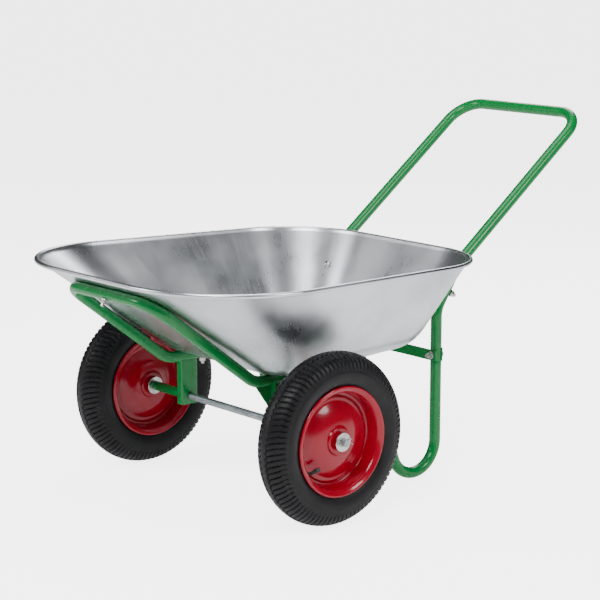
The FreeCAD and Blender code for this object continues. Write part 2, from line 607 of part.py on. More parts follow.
# ---- assembly ---------------------------------------------------------------------
def build():
    """Make every node, keyed by its name."""
    parts = {}
    loop_wire = front_loop_wire()
    loop = tube_along(loop_wire, TUBE_R, TUBE_SHEET)
    rails = rod_along(loop_wire, TUBE_R)
    bead = rim_bead()
    knee = handle_knee(bead)
    handle = tube_along(handle_wire(knee), TUBE_R, TUBE_SHEET)
    outside, _ = tray_body(0.0)
    inside, mouth = tray_body(SHEET)
    tray = outside.cut(inside).cut(mouth.extrude(Z_AXIS * BEAD_R)).fuse(bead)

    bolts = {"nose": [], "floor": [], "rear_wall": [], "strap": [], "leg": []}
    nose_axis = Vector(math.sin(nose_slope), 0, -math.cos(nose_slope))
    nose_face = Vector(crossbar_x, 0, crossbar_z) - nose_axis * (TUBE_R + SHEET)
    bolts["nose"].append(joint(nose_face, nose_axis, SHEET + 2 * TUBE_R))

    rear_seat, rear_axis, rear_depth = rear_bolt_seat(outside, knee)
    rear_face = rear_seat - rear_axis * (SHEET + HEAD_STAND_OFF)
    rear_grip = rear_depth + SHEET + 2 * HEAD_STAND_OFF
    floor_top = height_of_floor(FLOOR_BOLT_X, RAIL_Y + BOLT_HEAD_R, outside) + SHEET + HEAD_STAND_OFF
    leg_tab = leg_tab_place() + Y_AXIS * LEG_TAB_THICK
    strap_face = Vector(leg_x - TUBE_R - SADDLE_THICK, HANDLE_Y, STRAP_Z)
    for side in SIDES.values():
        bolts["rear_wall"].append(joint(swap(rear_face, side), swap(rear_axis, side), rear_grip))
        floor_face = Vector(FLOOR_BOLT_X, side * RAIL_Y, RAIL_Z + floor_top)
        bolts["floor"].append(joint(floor_face, Z_AXIS * -1, floor_top + TUBE_R))
        bolts["strap"].append(joint(swap(strap_face, side), X_AXIS,
                                    SADDLE_THICK + 2 * TUBE_R + STRAP_THICK))
        bolts["leg"].append(joint(swap(leg_tab, side), Y_AXIS * -side, LEG_TAB_THICK + 2 * TUBE_R))

    holes = Part.makeCompound([entry[3] for entries in bolts.values() for entry in entries])
    parts["tray"] = tray.cut(holes)
    parts["front_loop_tube"] = loop.cut(holes)
    parts["handle_tube"] = handle.cut(holes)
    leg, bracket, saddle = make_leg(), make_bracket(rails), make_saddle()
    for name, side in SIDES.items():
        parts[name + "_leg"] = on_side(leg, side).cut(holes)
        parts[name + "_axle_bracket"] = on_side(bracket, side)
        parts[name + "_saddle_plate"] = on_side(saddle, side)
    parts["left_bracket_gusset"] = make_gusset(rails)
    parts["leg_strap"] = make_strap()
    for label, entries in bolts.items():
        many = "s" if len(entries) > 1 else ""
        parts[label + "_bolt" + many] = group([entry[0] for entry in entries])
        parts[label + "_washer" + many] = group([entry[1] for entry in entries])
        parts[label + "_nut" + many] = group([entry[2] for entry in entries])

    parts["axle"] = make_axle()
    centre = Z_AXIS * axle_z
    spacer_bore_r = AXLE_R + SPACER_CLEARANCE
    spacer = ring(spacer_bore_r + SPACER_WALL, spacer_bore_r, centre + Y_AXIS * (web_y + BRACKET_SHEET),
                  centre + Y_AXIS * inner_washer_y)
    washers = [ring(WASHER_R, AXLE_R, centre + Y_AXIS * y, centre + Y_AXIS * (y + WASHER_THICK))
               for y in (inner_washer_y, outer_washer_y)]
    pin = make_split_pin()
    wheel = make_wheel()
    for name, side in SIDES.items():
        parts[name + "_axle_spacer"] = on_side(spacer, side)
        parts[name + "_wheel_washers"] = group([on_side(washer, side) for washer in washers])
        parts[name + "_split_pin"] = on_side(pin, side)
        for ending, shape in wheel.items():
            placed = shape.copy()
            placed.translate(Vector(0, wheel_y, axle_z))
            parts[name + "_" + ending] = on_side(placed, side)
    return parts


def export(parts):
    """Write one file for each node, with the origin at the middle of the length."""
    os.makedirs("parts", exist_ok=True)
    for name, shape in parts.items():
        shape = shape.copy()
        shape.translate(X_AXIS * axle_x_in_export)
        shape.exportStep("parts/" + name + ".step")
        print(name, len(shape.Solids), round(shape.Volume), shape.isValid())


export(build())
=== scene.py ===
import logging
import math
from dataclasses import dataclass
from enum import Enum
from typing import Optional, Sequence

import bmesh
import bpy
import numpy as np
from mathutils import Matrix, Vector


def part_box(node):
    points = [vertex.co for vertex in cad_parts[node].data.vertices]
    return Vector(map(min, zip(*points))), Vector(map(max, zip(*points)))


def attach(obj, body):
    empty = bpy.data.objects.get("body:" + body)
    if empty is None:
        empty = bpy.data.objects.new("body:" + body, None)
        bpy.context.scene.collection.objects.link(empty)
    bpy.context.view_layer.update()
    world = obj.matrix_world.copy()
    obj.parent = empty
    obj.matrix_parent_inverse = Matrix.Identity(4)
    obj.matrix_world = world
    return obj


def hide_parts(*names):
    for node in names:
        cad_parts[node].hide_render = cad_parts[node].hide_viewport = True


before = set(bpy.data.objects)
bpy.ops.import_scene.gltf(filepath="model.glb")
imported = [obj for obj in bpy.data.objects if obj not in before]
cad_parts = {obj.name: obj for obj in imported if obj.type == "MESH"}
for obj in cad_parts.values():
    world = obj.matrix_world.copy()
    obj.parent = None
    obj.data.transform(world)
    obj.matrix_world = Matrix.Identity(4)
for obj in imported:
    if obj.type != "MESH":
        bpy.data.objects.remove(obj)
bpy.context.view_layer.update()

LOG = logging.getLogger("wheelbarrow")
MM = 0.001
FULL_TURN = 2 * math.pi
FRAME_BODY = "frame"
SOFTENED_PLATES = ("left_bracket_gusset", "leg_strap", "left_saddle_plate", "right_saddle_plate")
PLATE_EDGE = 0.6 * MM
Array = np.ndarray
Node = bpy.types.Node
Socket = bpy.types.NodeSocket


class Side(Enum):
    """The two sides of the barrow; the value is the sign of Y."""

    LEFT = 1
    RIGHT = -1

    @property
    def label(self) -> str:
        """The word that starts the names of this side's pieces."""
        return self.name.lower()


# ---- numpy surfaces ----
def smooth_step(low: float, high: float, value: Array) -> Array:
    """Rise from 0 at low to 1 at high along 3t^2 - 2t^3.

    Args:
        low: Where the rise starts.
        high: Where it ends.
        value: Where to evaluate it.

    Returns:
        The height of the step at each value.
    """
    t = np.clip((value - low) / (high - low), 0.0, 1.0)
    return t * t * (3.0 - 2.0 * t)


def unit(vectors: Array) -> Array:
    """Vectors divided by their lengths."""
    return vectors / np.maximum(np.linalg.norm(vectors, axis=-1, keepdims=True), 1e-12)


def arc_points(before: Array, corner: Array, after: Array, radius: float, steps: int) -> Array:
    """Points of the arc of a radius that rounds a corner and touches both its sides.

    The arc turns from one tangent point to the other about its centre, which lies on
    the corner's bisector at radius / cos(half the turn).

    Args:
        before: The point before the corner.
        corner: The corner.
        after: The point after it.
        radius: Radius of the arc.
        steps: Number of intervals along the arc.

    Returns:
        An array of steps + 1 points.
    """
    into = unit(corner - before)
    out = unit(after - corner)
    turn = math.acos(float(np.clip(into @ out, -1.0, 1.0)))
    start = corner - into * radius * math.tan(turn / 2)
    inward = unit(out - into * float(into @ out))
    angle = np.linspace(0.0, turn, steps + 1)[:, None]
    return start + into * radius * np.sin(angle) + inward * radius * (1.0 - np.cos(angle))


def rounded_path(corners: Sequence[Sequence[float]], radii: Sequence[float], steps: int = 12,
                 run_step: float = 0.02) -> Array:
    """Straight runs through corners, with an arc of its own radius at each inner corner.

    Args:
        corners: The sharp corners, ends included.
        radii: One radius for each inner corner.
        steps: Intervals along each arc.
        run_step: Longest interval on a straight run.

    Returns:
        The points along the path.
    """
    points = [np.asarray(c, float) for c in corners]
    bits = [points[0][None, :]]
    for before, corner, after, radius in zip(points, points[1:], points[2:], radii):
        bits.append(arc_points(before, corner, after, radius, steps))
    bits.append(points[-1][None, :])
    filled = []
    for bit, following in zip(bits, bits[1:]):
        filled.append(bit)
        gap = following[0] - bit[-1]
        count = int(np.linalg.norm(gap) / run_step)
        if count > 0:
            filled.append(bit[-1] + gap * (np.arange(1, count + 1) / (count + 1))[:, None])
    filled.append(bits[-1])
    path = np.vstack(filled)
    keep = np.r_[True, np.linalg.norm(np.diff(path, axis=0), axis=1) > 1e-6]
    return path[keep]


def path_frames(path: Array) -> tuple[Array, Array]:
    """Two directions square to a path at each point, carried along with no twist.

    Each step turns the first direction by the least rotation between two tangents,
    which is the same as removing its part along the new tangent.

    Args:
        path: Points along the path.

    Returns:
        The two directions at each point.
    """
    tangents = unit(np.gradient(path, axis=0))
    guide = np.array([0.0, 0.0, 1.0]) if abs(tangents[0][2]) < 0.8 else np.array([0.0, 1.0, 0.0])
    normals = np.empty_like(path)
    for i, tangent in enumerate(tangents):
        guide = unit(guide - tangent * float(guide @ tangent))
        normals[i] = guide
    return normals, np.cross(tangents, normals)


def sweep(path: Array, profile: Array, scale: Optional[Array] = None) -> Array:
    """Carry a flat profile along a path: point + a * normal + b * binormal.

    Args:
        path: Points along the path.
        profile: (a, b) points of the profile.
        scale: How much a and b grow at each point of the path, if they do.

    Returns:
        A grid of points, one row for each point of the path.
    """
    normals, binormals = path_frames(path)
    sized = profile[None, :, :] * (np.ones((len(path), 1, 2)) if scale is None else scale[:, None, :])
    return (path[:, None, :] + normals[:, None, :] * sized[..., 0, None]
            + binormals[:, None, :] * sized[..., 1, None])


def circle(radius: float, count: int) -> Array:
    """Points of a circle, radius * (cos a, sin a)."""
    angle = np.arange(count) * (FULL_TURN / count)
    return radius * np.stack([np.cos(angle), np.sin(angle)], axis=1)


def turn_profile(profile: Array, count: int) -> Array:
    """Turn (radius, y) points about the Y axis: (r cos a, y, r sin a).

    Args:
        profile: The (radius, y) points.
        count: Number of columns round the axis.

    Returns:
        A grid of points, one row for each profile point.
    """
    angle = np.arange(count) * (FULL_TURN / count)
    radius = profile[:, 0, None]
    y = np.broadcast_to(profile[:, 1, None], (len(profile), count))
    return np.stack([radius * np.cos(angle), y, radius * np.sin(angle)], axis=-1)


def grid_quads(rows: int, columns: int, wrap_rows: bool, wrap_columns: bool, start: int = 0) -> Array:
    """Corner numbers of the four-sided faces between neighbouring rows and columns.

    Args:
        rows: Rows of the grid.
        columns: Columns of the grid.
        wrap_rows: Whether the last row joins the first.
        wrap_columns: Whether the last column joins the first.
        start: Number of the grid's first vertex.

    Returns:
        An array of four vertex numbers for each face.
    """
    r = np.arange(rows if wrap_rows else rows - 1)[:, None]
    c = np.arange(columns if wrap_columns else columns - 1)[None, :]
    r2 = (r + 1) % rows
    c2 = (c + 1) % columns
    quads = np.stack(np.broadcast_arrays(r * columns + c, r * columns + c2,
                                         r2 * columns + c2, r2 * columns + c), axis=-1)
    return quads.reshape(-1, 4) + start


def turn_outward(mesh: bpy.types.Mesh) -> None:
    """Make every face of a closed mesh point outwards."""
    work = bmesh.new()
    work.from_mesh(mesh)
    bmesh.ops.recalc_face_normals(work, faces=work.faces)
    work.to_mesh(mesh)
    work.free()


def smooth_line(points: Sequence[Sequence[float]], rounds: int = 2) -> Array:
    """Round an open line's corners, each cut at a quarter and three quarters of its sides.

    Args:
        points: The line's corners.
        rounds: How many times its corners are cut.

    Returns:
        The finer line, with the same two ends.
    """
    line = np.asarray(points, float)
    for _ in range(rounds):
        near = 0.75 * line[:-1] + 0.25 * line[1:]
        far = 0.25 * line[:-1] + 0.75 * line[1:]
        middle = np.stack([near, far], axis=1).reshape(-1, line.shape[1])
        line = np.vstack([line[:1], middle[1:-1], line[-1:]])
    return line


def thicken_line(line: Array, half: float) -> Array:
    """Closed outline of a strip: the line moved by half to one side, then back on the other."""
    along = unit(np.gradient(line, axis=0))
    across = np.column_stack([-along[:, 1], along[:, 0]])
    return np.vstack([line + across * half, (line - across * half)[::-1]])


def arc_through(a: Sequence[float], b: Sequence[float], c: Sequence[float], steps: int) -> Array:
    """Points of the circle that passes through three flat points, from the first to the last.

    The centre is where the perpendicular bisectors of the two chords meet.

    Args:
        a: First point.
        b: A point between.
        c: Last point.
        steps: Number of intervals.

    Returns:
        An array of steps + 1 points.
    """
    a, b, c = (np.asarray(p, float) for p in (a, b, c))
    sides = 2 * np.array([b - a, c - a])
    centre = np.linalg.solve(sides, np.array([b @ b - a @ a, c @ c - a @ a]))
    start, middle, end = (math.atan2(p[1] - centre[1], p[0] - centre[0]) for p in (a, b, c))
    sweep_angle = (end - start) % FULL_TURN
    if (middle - start) % FULL_TURN > sweep_angle:
        sweep_angle -= FULL_TURN
    angle = start + sweep_angle * np.linspace(0.0, 1.0, steps + 1)
    radius = float(np.linalg.norm(a - centre))
    return centre + radius * np.column_stack([np.cos(angle), np.sin(angle)])


def add_object(name: str, data: bpy.types.ID) -> bpy.types.Object:
    """Make an object of some data and put it in the scene."""
    thing = bpy.data.objects.new(name, data)
    bpy.context.scene.collection.objects.link(thing)
    return thing


class Surface:
    """Vertices and faces gathered from grids, to become one mesh."""

    def __init__(self) -> None:
        """Start with nothing."""
        self.points: list[Array] = []
        self.faces: list[list[int]] = []
        self.count = 0

    def add_grid(self, grid: Array, wrap_rows: bool = False, wrap_columns: bool = True,
                 flip: bool = False, cap_start: bool = False, cap_end: bool = False) -> "Surface":
        """Add a grid of points as faces.

        Args:
            grid: Rows and columns of points.
            wrap_rows: Whether the last row joins the first.
            wrap_columns: Whether the last column joins the first.
            flip: Whether to turn the faces round.
            cap_start: Whether to close the first row with a face.
            cap_end: Whether to close the last row with a face.

        Returns:
            This surface, so that calls can follow each other.
        """
        rows, columns = grid.shape[:2]
        quads = grid_quads(rows, columns, wrap_rows, wrap_columns, self.count)
        if flip:
            quads = quads[:, ::-1]
        self.faces.extend(quads.tolist())
        first = list(range(self.count, self.count + columns))
        last = [i + (rows - 1) * columns for i in first]
        if cap_start:
            self.faces.append(first if flip else first[::-1])
        if cap_end:
            self.faces.append(last[::-1] if flip else last)
        self.points.append(grid.reshape(-1, 3))
        self.count += rows * columns
        return self

    def moved(self, offset: Sequence[float]) -> "Surface":
        """Shift every point by an offset."""
        self.points = [p + np.asarray(offset, float) for p in self.points]
        return self

    def mirrored(self) -> "Surface":
        """Reflect across the XZ plane and turn the faces round to match."""
        self.points = [p * np.array([1.0, -1.0, 1.0]) for p in self.points]
        self.faces = [face[::-1] for face in self.faces]
        return self

    def on(self, side: Side) -> "Surface":
        """This left-hand surface on the side named."""
        return self if side is Side.LEFT else self.mirrored()

    def to_piece(self, name: str, material: bpy.types.Material, body: str, slot: str,
                 replaces: Sequence[str] = (), sharp_angle: float = 40.0,
                 outward: bool = True) -> bpy.types.Object:
        """Make the mesh object, dress it and put it on its body.

        Args:
            name: Name of the piece.
            material: Its finish.
            body: The body that it rides on.
            slot: The record's material slot; not used.
            replaces: CAD nodes that it stands for.
            sharp_angle: Degrees past which an edge stays sharp.
            outward: Whether to turn the faces of a closed surface outwards.

        Returns:
            The new object.
        """
        mesh = bpy.data.meshes.new(name)
        mesh.from_pydata(np.vstack(self.points).tolist(), [], self.faces)
        mesh.validate()
        if outward:
            turn_outward(mesh)
        mesh.shade_smooth()
        mesh.set_sharp_from_angle(angle=math.radians(sharp_angle))
        mesh.materials.append(material)
        piece = add_object(name, mesh)
        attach(piece, body)
        if replaces:
            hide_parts(*replaces)
        LOG.info("%s: %d faces on %s", name, len(mesh.polygons), body)
        return piece


def ring_profile(inner: float, outer: float, low: float, high: float, edge: float) -> Array:
    """Closed (radius, y) outline of a washer or sleeve with chamfered corners.

    Args:
        inner: Bore radius.
        outer: Outer radius.
        low: Lower y.
        high: Higher y.
        edge: Size of the chamfers.

    Returns:
        Eight points, in the order that makes faces point outwards.
    """
    return np.array([[inner, low + edge], [inner, high - edge], [inner + edge, high],
                     [outer - edge, high], [outer, high - edge], [outer, low + edge],
                     [outer - edge, low], [inner + edge, low]])


# ---- finishes ----
def set_inputs(node: Node, values: dict) -> None:
    """Give a node's inputs their own values, by name or number."""
    for key, value in values.items():
        node.inputs[key].default_value = value


class Tree:
    """A node tree and short ways to add nodes to it."""

    def __init__(self, tree: bpy.types.NodeTree) -> None:
        """Wrap a tree."""
        self.tree = tree

    def node(self, kind: str, **settings: object) -> Node:
        """Add a node of a kind and set its properties by name."""
        node = self.tree.nodes.new(kind)
        for key, value in settings.items():
            setattr(node, key, value)
        return node

    def link(self, output: Socket, target: Socket) -> None:
        """Join an output to an input."""
        self.tree.links.new(output, target)

    def group(self, group: bpy.types.NodeTree, **values: float) -> Node:
        """Place a node group with its own input values; an underscore stands for a space."""
        node = self.node("ShaderNodeGroup", node_tree=group)
        set_inputs(node, {key.replace("_", " "): value for key, value in values.items()})
        return node

    def mix(self, factor: Socket, low: Sequence[float],
            high: Sequence[float]) -> Socket:
        """Blend two colours by a factor and return the colour output."""
        node = self.node("ShaderNodeMix", data_type="RGBA")
        self.link(factor, node.inputs["Factor"])
        set_inputs(node, {"A": (*low, 1.0), "B": (*high, 1.0)})
        return node.outputs["Result"]

    def add_share(self, value: Socket, share: float, base: Socket, clamped: bool) -> Socket:
        """Return value * share + base."""
        node = self.node("ShaderNodeMath", operation="MULTIPLY_ADD", use_clamp=clamped)
        node.inputs[1].default_value = share
        self.link(value, node.inputs[0])
        self.link(base, node.inputs[2])
        return node.outputs[0]

    def relief(self, height: Socket, strength: float, depth: float, shader: Node) -> None:
        """Tilt a shader's normals by a height."""
        bump = self.node("ShaderNodeBump")
        set_inputs(bump, {"Strength": strength, "Distance": depth})
        self.link(height, bump.inputs["Height"])
        self.link(bump.outputs["Normal"], shader.inputs["Normal"])

    def spread(self, value: Socket, source: Node, sink: Node) -> None:
        """Send a value to a group's output, between the group's Low and High."""
        ranged = self.node("ShaderNodeMapRange")
        self.link(value, ranged.inputs["Value"])
        self.link(source.outputs["Low"], ranged.inputs["To Min"])
        self.link(source.outputs["High"], ranged.inputs["To Max"])
        self.link(ranged.outputs["Result"], sink.inputs["Value"])


def new_group(name: str, inputs: dict[str, float],
              outputs: Sequence[str]) -> tuple[Tree, Node, Node]:
    """Start a shader node group with a Vector input, number inputs and number outputs.

    Args:
        name: Name of the group.
        inputs: Number inputs and their defaults.
        outputs: Names of the number outputs.

    Returns:
        The tree, its input node and its output node.
    """
    tree = bpy.data.node_groups.new(name, "ShaderNodeTree")
    tree.interface.new_socket(name="Vector", in_out="INPUT", socket_type="NodeSocketVector")
    for label, value in inputs.items():
        socket = tree.interface.new_socket(name=label, in_out="INPUT", socket_type="NodeSocketFloat")
        socket.default_value = value
    for label in outputs:
        tree.interface.new_socket(name=label, in_out="OUTPUT", socket_type="NodeSocketFloat")
    wrapped = Tree(tree)
    return wrapped, wrapped.node("NodeGroupInput"), wrapped.node("NodeGroupOutput")


def mottle_group() -> bpy.types.NodeTree:
    """Soft blotches: a noise with its contrast raised, between two values."""
    tree, source, sink = new_group("mottle", {"Scale": 10.0, "Detail": 3.0, "Contrast": 2.0,
                                              "Low": 0.0, "High": 1.0}, ["Value"])
    noise = tree.node("ShaderNodeTexNoise")
    for label in ("Vector", "Scale", "Detail"):
        tree.link(source.outputs[label], noise.inputs[label])
    centred = tree.node("ShaderNodeMath", operation="SUBTRACT")
    centred.inputs[1].default_value = 0.5
    tree.link(noise.outputs["Fac"], centred.inputs[0])
    raised = tree.node("ShaderNodeMath", operation="MULTIPLY_ADD", use_clamp=True)
    raised.inputs[2].default_value = 0.5
    tree.link(centred.outputs[0], raised.inputs[0])
    tree.link(source.outputs["Contrast"], raised.inputs[1])
    tree.spread(raised.outputs[0], source, sink)
    return tree.tree


def streak_group() -> bpy.types.NodeTree:
    """Fine lines along the third axis: a noise stretched along it."""
    tree, source, sink = new_group("streak", {"Scale": 300.0, "Stretch": 0.03, "Low": 0.0,
                                              "High": 1.0}, ["Value"])
    stretch = tree.node("ShaderNodeCombineXYZ")
    set_inputs(stretch, {"X": 1.0, "Y": 1.0})
    tree.link(source.outputs["Stretch"], stretch.inputs["Z"])
    scaled = tree.node("ShaderNodeVectorMath", operation="MULTIPLY")
    tree.link(source.outputs["Vector"], scaled.inputs[0])
    tree.link(stretch.outputs["Vector"], scaled.inputs[1])
    noise = tree.node("ShaderNodeTexNoise")
    noise.inputs["Detail"].default_value = 2.0
    tree.link(scaled.outputs["Vector"], noise.inputs["Vector"])
    tree.link(source.outputs["Scale"], noise.inputs["Scale"])
    tree.spread(noise.outputs["Fac"], source, sink)
    return tree.tree


@dataclass(frozen=True)
class Effects:
    """The node groups that the finishes share."""

    mottle: bpy.types.NodeTree
    streak: bpy.types.NodeTree


@dataclass(frozen=True)
class Finish:
    """A surface finish whose colour, gloss and relief vary over the surface."""

    name: str
    dark: tuple[float, float, float]
    light: tuple[float, float, float]
    blotch_scale: float
    rough: tuple[float, float]
    rough_scale: float
    relief: float
    relief_scale: float
    relief_depth: float = 0.0005
    metallic: float = 0.0
    coat: float = 0.0
    coat_roughness: float = 0.05
    specular: float = 0.5

    def coordinates(self, tree: Tree) -> Socket:
        """The object's own coordinates."""
        return tree.node("ShaderNodeTexCoord").outputs["Object"]

    def build(self, effects: Effects) -> bpy.types.Material:
        """Make the material.

        Args:
            effects: The shared node groups.

        Returns:
            A material with a Principled shader.
        """
        material = bpy.data.materials.new(self.name)
        material.use_nodes = True
        tree = Tree(material.node_tree)
        shader = material.node_tree.nodes["Principled BSDF"]
        set_inputs(shader, {"Metallic": self.metallic, "Coat Weight": self.coat,
                            "Coat Roughness": self.coat_roughness,
                            "Specular IOR Level": self.specular})
        self.paint(tree, shader, effects)
        return material

    def paint(self, tree: Tree, shader: Node, effects: Effects) -> None:
        """Add the nodes for colour, roughness and relief.

        Args:
            tree: The material's nodes.
            shader: Its Principled shader.
            effects: The shared node groups.
        """
        place = self.coordinates(tree)
        blotch = tree.group(effects.mottle, Scale=self.blotch_scale, Detail=4.0, Contrast=2.2)
        rough = tree.group(effects.mottle, Scale=self.rough_scale, Low=self.rough[0],
                           High=self.rough[1], Contrast=1.8)
        grain = tree.group(effects.mottle, Scale=self.relief_scale, Detail=2.0, Contrast=1.0)
        for node in (blotch, rough, grain):
            tree.link(place, node.inputs["Vector"])
        tree.link(tree.mix(blotch.outputs["Value"], self.dark, self.light), shader.inputs["Base Color"])
        tree.link(rough.outputs["Value"], shader.inputs["Roughness"])
        tree.relief(grain.outputs["Value"], self.relief, self.relief_depth, shader)


@dataclass(frozen=True)
class GalvanisedSheet(Finish):
    """Zinc-coated sheet: cloudy patches with fine lines that run up the walls."""

    flow: str = "wall_flow"
    line_scale: float = 260.0
    line_shade: float = 0.30
    line_rough: float = 0.06

    def paint(self, tree: Tree, shader: Node, effects: Effects) -> None:
        """Add cloudy colour, lined roughness and a lined relief.

        Args:
            tree: The material's nodes.
            shader: Its Principled shader.
            effects: The shared node groups.
        """
        place = self.coordinates(tree)
        flow = tree.node("ShaderNodeAttribute", attribute_name=self.flow).outputs["Vector"]
        cloud = tree.group(effects.mottle, Scale=self.blotch_scale, Detail=3.0, Contrast=2.6)
        fine = tree.group(effects.streak, Scale=self.line_scale, Stretch=0.03)
        rough = tree.group(effects.mottle, Scale=self.rough_scale, Low=self.rough[0],
                           High=self.rough[1], Contrast=2.4)
        tree.link(place, cloud.inputs["Vector"])
        tree.link(place, rough.inputs["Vector"])
        tree.link(flow, fine.inputs["Vector"])
        lines = fine.outputs["Value"]
        shade = tree.add_share(lines, self.line_shade, cloud.outputs["Value"], True)
        tree.link(tree.mix(shade, self.dark, self.light), shader.inputs["Base Color"])
        lined = tree.add_share(lines, self.line_rough, rough.outputs["Value"], False)
        tree.link(lined, shader.inputs["Roughness"])
        tree.relief(lines, self.relief, self.relief_depth, shader)


class Paintbox:
    """Every finish on the barrow, built once."""

    def __init__(self) -> None:
        """Build the shared groups and the materials."""
        effects = Effects(mottle_group(), streak_group())
        enamel = {"blotch_scale": 9.0, "rough_scale": 30.0, "relief": 0.04, "relief_scale": 160.0}
        dull = {"blotch_scale": 40.0, "rough_scale": 60.0, "relief_depth": 0.0002}
        self.green = Finish("gloss_green_paint", (0.0, 0.180, 0.036), (0.0, 0.200, 0.042),
                            rough=(0.24, 0.29), coat=0.15, specular=0.32, **enamel).build(effects)
        self.red = Finish("gloss_red_paint", (0.29, 0.0, 0.012), (0.33, 0.0, 0.015),
                          rough=(0.15, 0.20), coat=0.2, specular=0.36, **enamel).build(effects)
        self.zinc = Finish("bright_zinc", (0.40, 0.40, 0.37), (0.66, 0.66, 0.63),
                           blotch_scale=60.0, rough=(0.20, 0.38), rough_scale=90.0, relief=0.2,
                           relief_scale=900.0, relief_depth=0.0002, metallic=1.0).build(effects)
        self.rod = Finish("galvanised_rod", (0.24, 0.27, 0.30), (0.42, 0.45, 0.48),
                          rough=(0.30, 0.45), relief=0.3, relief_scale=700.0, metallic=0.9,
                          **dull).build(effects)
        self.tyre = Finish("tyre_rubber", (0.0015, 0.0015, 0.002), (0.006, 0.006, 0.008),
                           blotch_scale=26.0, rough=(0.38, 0.52), rough_scale=40.0, relief=0.25,
                           relief_scale=900.0, relief_depth=0.0003, specular=0.28).build(effects)
        self.rubber = Finish("smooth_rubber", (0.008, 0.008, 0.008), (0.02, 0.02, 0.02),
                             rough=(0.4, 0.55), relief=0.15, relief_scale=900.0,
                             **dull).build(effects)
        self.plastic = Finish("black_plastic", (0.012, 0.012, 0.013), (0.025, 0.025, 0.027),
                              blotch_scale=60.0, rough=(0.35, 0.5), rough_scale=80.0, relief=0.15,
                              relief_scale=1200.0, relief_depth=0.0002).build(effects)
        self.sheet = GalvanisedSheet("galvanised_sheet", (0.50, 0.53, 0.56), (0.74, 0.77, 0.80),
                                     blotch_scale=7.0, rough=(0.22, 0.32), rough_scale=7.0,
                                     relief=0.03, relief_scale=300.0, relief_depth=0.0001,
                                     metallic=1.0).build(effects)


